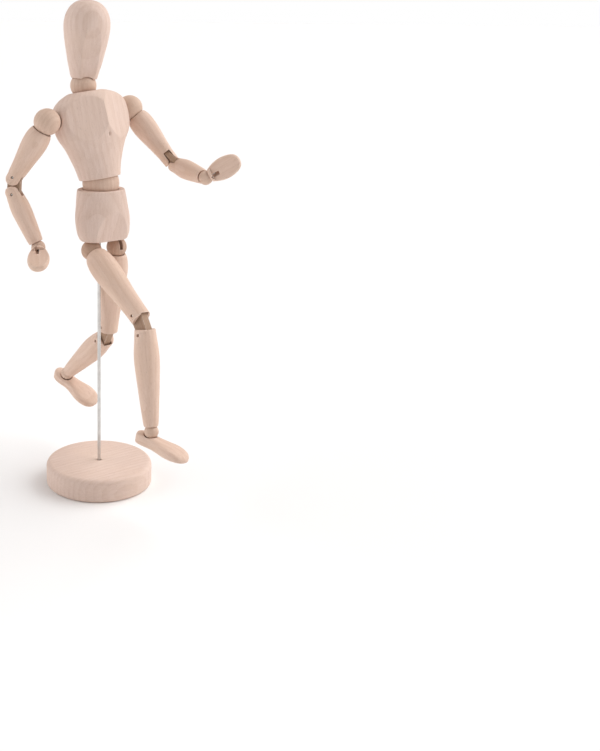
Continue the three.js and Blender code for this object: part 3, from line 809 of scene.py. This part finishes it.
def add_limb_ball(node, matrix, radius, wire, low, high, turned_by=None, material=BALL_WOOD):
    """A ball with a slot for the upper piece's spring and a bore for its own."""
    slot = moved(fan(low, high, radius + 1, wire), shift(0, 0, 0.1))
    cutters = [slot, bar(wire + GAP, -radius - 1, -0.1)]
    if turned_by is not None:
        cutters = [moved(cutter, turned_by) for cutter in cutters]
    wooden(node, globe(radius), cutters, matrix, 0.1, 4, material)


def add_end_ball(node, matrix, radius, wire, bend):
    above = bar(wire + GAP, 0, radius + 1)
    below = moved(bar(wire + GAP, -radius - 1, 0), turn("X", bend))
    cutters = [above, below, globe(wire + GAP + 0.06, 24)]
    wooden(node, globe(radius), cutters, matrix, 0.09, 3, BALL_WOOD)


def bent_tail(bend, reach):
    a = math.radians(bend)
    return [(0, r * math.sin(a), -r * math.cos(a)) for r in (reach, reach * 0.55, 0.35)]


def add_hand(node, matrix, roll):
    """A wooden paddle with a flat palm."""
    length, thickness, palm = HAND["length"], HAND["thickness"], HAND["palm"]
    half = HAND["width"] / 2
    sections = [
        [-length, 0.5, 0.4],
        [-length + 0.5, half * 0.56, thickness * 0.28],
        [-length + 1.8, half * 0.84, thickness * 0.42],
        [-length + 4, half, thickness * 0.5],
        [-length + 6.2, half * 0.97, thickness * 0.51],
        [-2.8, half * 0.8, thickness * 0.52],
        [-1.5, 1.85, 1.75],
    ]
    rolled = turn("Z", roll)
    cutters = [
        globe(BALL["wrist"] + GAP),
        moved(block(12, 4, 14), rolled @ shift(0, -2 - palm, -9.4)),
        moved(fan(-32, 32, BALL["wrist"] + 1.9, SMALL_SPRING["wire"]), turn("X", 180)),
    ]
    wooden(node, moved(oval(sections), rolled), cutters, matrix, VOXEL["hand"])


def cubic(start, first, second, end, steps=12):
    """Points of a Bezier curve, without its last one."""
    corners = [np.array(p, dtype=float) for p in (start, first, second, end)]
    points = []
    for i in range(steps):
        t = i / steps
        weights = ((1 - t) ** 3, 3 * t * (1 - t) ** 2, 3 * t**2 * (1 - t), t**3)
        points.append(sum(w * corner for w, corner in zip(weights, corners)))
    return points


def foot_sections():
    """The half width and the top of the foot along its length, from the heel to the toe."""
    toe, heel, top, sole = FOOT["toe"], FOOT["heel"], FOOT["top"], FOOT["sole"]
    plan = cubic((0, heel), (2.3, heel), (2.5, 2), (2.1, -1))
    plan += cubic((2.1, -1), (1.9, -4), (3.3, -6), (3.3, -8.6))
    plan += cubic((3.3, -8.6), (3.3, -11.6), (1.9, -toe), (0, -toe))
    side = cubic((heel, top - 0.8), (heel, top), (3, top), (2, top))
    side += cubic((2, top), (-2, top), (-4, top - 0.2), (-7, top - 0.3))
    side += cubic((-7, top - 0.3), (-10, top - 0.5), (-toe, top - 1.3), (-toe, sole + 0.6))
    across = np.array(plan[1:] + [(0.0, -toe)])
    above = np.array(side + [(-toe, sole + 0.6)])
    places = np.concatenate([heel - 0.06 - 0.7 * np.linspace(0, 1, 8) ** 2, np.linspace(3.5, -12, 60)])
    places = np.concatenate([places, -toe + 0.04 + 0.8 * np.linspace(1, 0, 10) ** 2])
    places = np.unique(places.round(4))[::-1]
    widths = np.interp(-places, -across[:, 1], across[:, 0])
    tops = np.interp(-places, -above[:, 0], above[:, 1])
    return places, widths, tops


def add_foot(node, matrix):
    """A shoe shape with a flat sole and an upper that rolls over into its sides."""
    sole = FOOT["sole"]
    places, widths, tops = foot_sections()
    rings = []
    for y, width, top in zip(places, widths, tops):
        waist = sole + 0.42 * (top - sole)
        ring = []
        for a in np.linspace(0, 2 * math.pi, 72, endpoint=False):
            c, s = math.cos(a), math.sin(a)
            power = 2 / 3.0 if s > 0 else 2 / 9.0
            rise = top - waist if s > 0 else waist - sole
            x = width * math.copysign(abs(c) ** power, c)
            ring.append((x, y, waist + rise * math.copysign(abs(s) ** power, s)))
        rings.append(ring)
    first, last = np.mean(rings[0], axis=0), np.mean(rings[-1], axis=0)
    mesh = rings_to_mesh(rings, tuple(first), tuple(last))
    cutters = [
        globe(BALL["ankle"] + GAP),
        moved(fan(-30, 30, BALL["ankle"] + 1.6, SMALL_SPRING["wire"]), turn("X", 180)),
    ]
    wooden(node, mesh, cutters, matrix, VOXEL["foot"], along="Y")


ARM = {
    "joints": ("elbow_upper", "elbow_lower", "wrist_turn"),
    "pieces": ("upper_arm", "elbow_upper_pin", "elbow_link", "elbow_lower_pin", "forearm"),
    "meshes": (upper_arm_mesh, forearm_mesh),
    "balls": ("shoulder", "wrist"),
    "link": ELBOW,
    "end": ARM_END,
    "inner": -1,
    "corners": (-1, 1),
    "voxel": VOXEL["arm"],
}
LEG = {
    "joints": ("knee_upper", "knee_lower", "ankle_turn"),
    "pieces": ("thigh", "knee_upper_pin", "knee_link", "knee_lower_pin", "calf"),
    "meshes": (thigh_mesh, calf_mesh),
    "balls": ("hip", "ankle"),
    "link": KNEE,
    "end": LEG_END,
    "inner": 1,
    "corners": (1,),
    "voxel": VOXEL["leg"],
}


def add_limb(limb, name, middle):
    """The two pieces of a limb, with the link and pins between them. Returns the far ball's centre."""
    upper_joint, lower_joint, end_joint = (f"{part}_{name}" for part in limb["joints"])
    upper_node, upper_pin_node, link_node, lower_pin_node, lower_node = (
        f"{part}_{name}" for part in limb["pieces"]
    )
    upper_mesh, lower_mesh = limb["meshes"]
    near, far = (BALL[ball] for ball in limb["balls"])
    link, end, voxel = limb["link"], limb["end"], limb["voxel"]
    sides = limb["inner"], limb["corners"]

    upper_pin, lower_pin, far_middle = anchor(upper_joint), anchor(lower_joint), anchor(end_joint)
    hinge = axis(upper_joint, -1)
    upper = placed(middle, x=hinge, z=(middle - upper_pin).normalized())
    pin_at = (upper_pin - middle).length / MM
    cutters = [
        globe(near + GAP),
        moved(spring_bore(SMALL_SPRING, near + 0.6), turn("X", 180)),
        *fork_cuts(link, end, -pin_at, -1, *sides),
    ]
    wooden(upper_node, upper_mesh(pin_at), cutters, upper, voxel)
    pin_length = 2 * end - 0.5
    at_pin = placed(upper_pin, x=hinge, z=(middle - upper_pin).normalized())
    add_pin(upper_pin_node, at_pin, link["pin"], pin_length)

    between = placed(upper_pin, x=hinge, z=(upper_pin - lower_pin).normalized())
    add_link(link_node, between, link, (upper_pin - lower_pin).length / MM)
    lower = placed(lower_pin, x=hinge, z=(lower_pin - far_middle).normalized())
    add_pin(lower_pin_node, lower, link["pin"], pin_length)
    far_at = (lower_pin - far_middle).length / MM
    cutters = [
        moved(globe(far + GAP), shift(0, 0, -far_at)),
        moved(spring_bore(SMALL_SPRING, far + 0.6), shift(0, 0, -far_at)),
        *fork_cuts(link, end, 0, 1, *sides),
    ]
    wooden(lower_node, lower_mesh(far_at), cutters, lower, voxel)
    return far_middle


def add_end(part, name, held, reach, bend):
    """A wrist or ankle ball and its spring. Returns the frame of the hand or foot."""
    radius = BALL[part]
    wire = spring_mesh(SMALL_SPRING, radius + 0.8, 0.5, bent_tail(bend, radius + reach))
    add_spring(f"{part}_spring_{name}", wire, held)
    add_end_ball(f"{part}_ball_{name}", held, radius, SMALL_SPRING["wire"], bend)
    return held @ turn("X", bend)


def add_arm(side, name):
    def joint(part):
        return f"{part}_{name}"

    middle = anchor(joint("shoulder_swing"))
    raise_axis = axis(joint("shoulder_raise"), -side)
    swung = placed(middle, x=axis(joint("shoulder_swing"), -1), y=raise_axis)
    big = spring_mesh(BIG_SPRING, BALL["shoulder"] + 0.9, 0.5)
    add_spring(joint("shoulder_spring"), big, swung, turn("Y", -90 * side))
    raised = placed(middle, y=raise_axis, z=axis(joint("arm_twist"), -side))
    across = turn("Z", -90 * side)
    add_limb_ball(joint("shoulder_ball"), raised, BALL["shoulder"], BIG_SPRING["wire"], 20, 102, across)
    small = spring_mesh(SMALL_SPRING, BALL["shoulder"] + 0.8, 1.2)
    add_spring(joint("arm_spring"), small, raised, turn("X", 180))

    wrist = add_limb(ARM, name, middle)
    held = placed(wrist, x=axis(joint("wrist_bend"), -1), z=axis(joint("wrist_turn"), -side))
    add_hand(joint("hand"), add_end("wrist", name, held, 1.2, -WRIST_BEND[name]), HAND_ROLL[name])


def add_leg(side, name):
    def joint(part):
        return f"{part}_{name}"

    middle = anchor(joint("hip_swing"))
    swing = axis(joint("hip_swing"), -1)
    hip = placed(middle, x=swing, z=axis(joint("hip_turn"), side))
    add_spring(joint("hip_spring"), spring_mesh(SMALL_SPRING, BALL["hip"] + 0.8, 0.5), hip)
    swung = placed(middle, x=swing, z=axis(joint("thigh_twist"), side))
    add_limb_ball(
        joint("hip_ball"), swung, BALL["hip"], SMALL_SPRING["wire"], -45, 80, material=HIP_WOOD_AND_SHADE
    )
    small = spring_mesh(SMALL_SPRING, BALL["hip"] + 0.8, 1.2)
    add_spring(joint("thigh_spring"), small, swung, turn("X", 180))

    ankle = add_limb(LEG, name, middle)
    held = placed(ankle, x=axis(joint("ankle_bend"), -1), z=axis(joint("ankle_turn"), side))
    add_foot(joint("foot"), add_end("ankle", name, held, 1.0, ANKLE_BEND[name]))


# ---------------------------------------------------------------- studio


def add_floor():
    """A pale floor that runs to the horizon on every side."""
    reach = FLOOR_REACH
    corners = [(-reach, -reach, 0), (reach, -reach, 0), (reach, reach, 0), (-reach, reach, 0)]
    mesh = mesh_of(corners, [(0, 1, 2, 3)])
    mesh.materials.append(plain("paper", (0.955, 0.955, 0.96), 0.9))
    floor = bpy.data.objects.new("floor", mesh)
    bpy.context.scene.collection.objects.link(floor)


def camera_axes(yaw, pitch, roll):
    """The camera's right, up and forward directions; yaw is from +Y and pitch is downwards, in degrees."""
    yaw, pitch, roll = (math.radians(angle) for angle in (yaw, pitch, roll))
    right = Vector((math.cos(yaw), math.sin(yaw), 0))
    level = Vector((-math.sin(yaw), math.cos(yaw), 0))
    forward = level * math.cos(pitch) - Vector((0, 0, math.sin(pitch)))
    up = right.cross(forward)
    right = right * math.cos(roll) + up * math.sin(roll)
    return right, right.cross(forward), forward


CAMERA = {
    "place": (-0.16784, -0.24420, 0.13468),
    "yaw": -37.295,
    "pitch": 12.288,
    "roll": 0.6,
    "lens": 50.937,
    "shift": (0.20, -0.165),
}


def add_camera():
    right, up, forward = camera_axes(CAMERA["yaw"], CAMERA["pitch"], CAMERA["roll"])
    data = bpy.data.cameras.new("camera")
    data.lens = CAMERA["lens"]
    data.sensor_width = 36
    data.shift_x, data.shift_y = CAMERA["shift"]
    data.clip_start = 0.01
    camera = bpy.data.objects.new("camera", data)
    bpy.context.scene.collection.objects.link(camera)
    matrix = Matrix((right, up, -forward)).transposed().to_4x4()
    matrix.translation = CAMERA["place"]
    camera.matrix_world = matrix
    bpy.context.scene.camera = camera


def add_sun(name, light, right, up, forward):
    """A soft sun that shines on the figure's middle from one side of the camera's view."""
    sideways, away, height = light["toward"]
    place = right * sideways + forward * away + up * height
    data = bpy.data.lights.new(name, "SUN")
    data.energy = light["power"]
    data.color = light["colour"]
    data.angle = math.radians(light["spread"])
    sun = bpy.data.objects.new(name, data)
    bpy.context.scene.collection.objects.link(sun)
    aim = Vector((0, 0, 0.07)) - place
    sun.matrix_world = Matrix.Translation(place) @ aim.to_track_quat("-Z", "Y").to_matrix().to_4x4()


def add_room():
    """An even room that looks white and gives a slightly warm light."""
    world = bpy.data.worlds.new("room")
    world.use_nodes = True
    tree = world.node_tree
    background = tree.nodes["Background"]
    seen = tree.nodes.new("ShaderNodeLightPath").outputs["Is Camera Ray"]
    tint = tree.nodes.new("ShaderNodeMixRGB")
    tint.inputs["Color1"].default_value = ROOM_TINT
    tint.inputs["Color2"].default_value = (1.0, 1.0, 1.0, 1)
    tree.links.new(seen, tint.inputs["Fac"])
    tree.links.new(tint.outputs[0], background.inputs["Color"])
    level = tree.nodes.new("ShaderNodeMapRange")
    level.inputs["To Min"].default_value = ROOM_LIGHT
    level.inputs["To Max"].default_value = ROOM_SEEN
    tree.links.new(seen, level.inputs["Value"])
    tree.links.new(level.outputs[0], background.inputs["Strength"])
    bpy.context.scene.world = world


def add_studio():
    add_floor()
    add_camera()
    right, up, forward = camera_axes(CAMERA["yaw"], 0, 0)
    add_sun("key", KEY, right, up, forward)
    add_sun("rim", RIM, right, up, forward)
    add_room()
    bpy.context.scene.view_settings.view_transform = "Standard"


# ---------------------------------------------------------------- the whole object

add_studio()
add_base()
add_rod()
add_pelvis()
add_trunk()
add_arm(-1, "right")
add_arm(1, "left")
add_leg(-1, "right")
add_leg(1, "left")

bpy.context.view_layer.update()
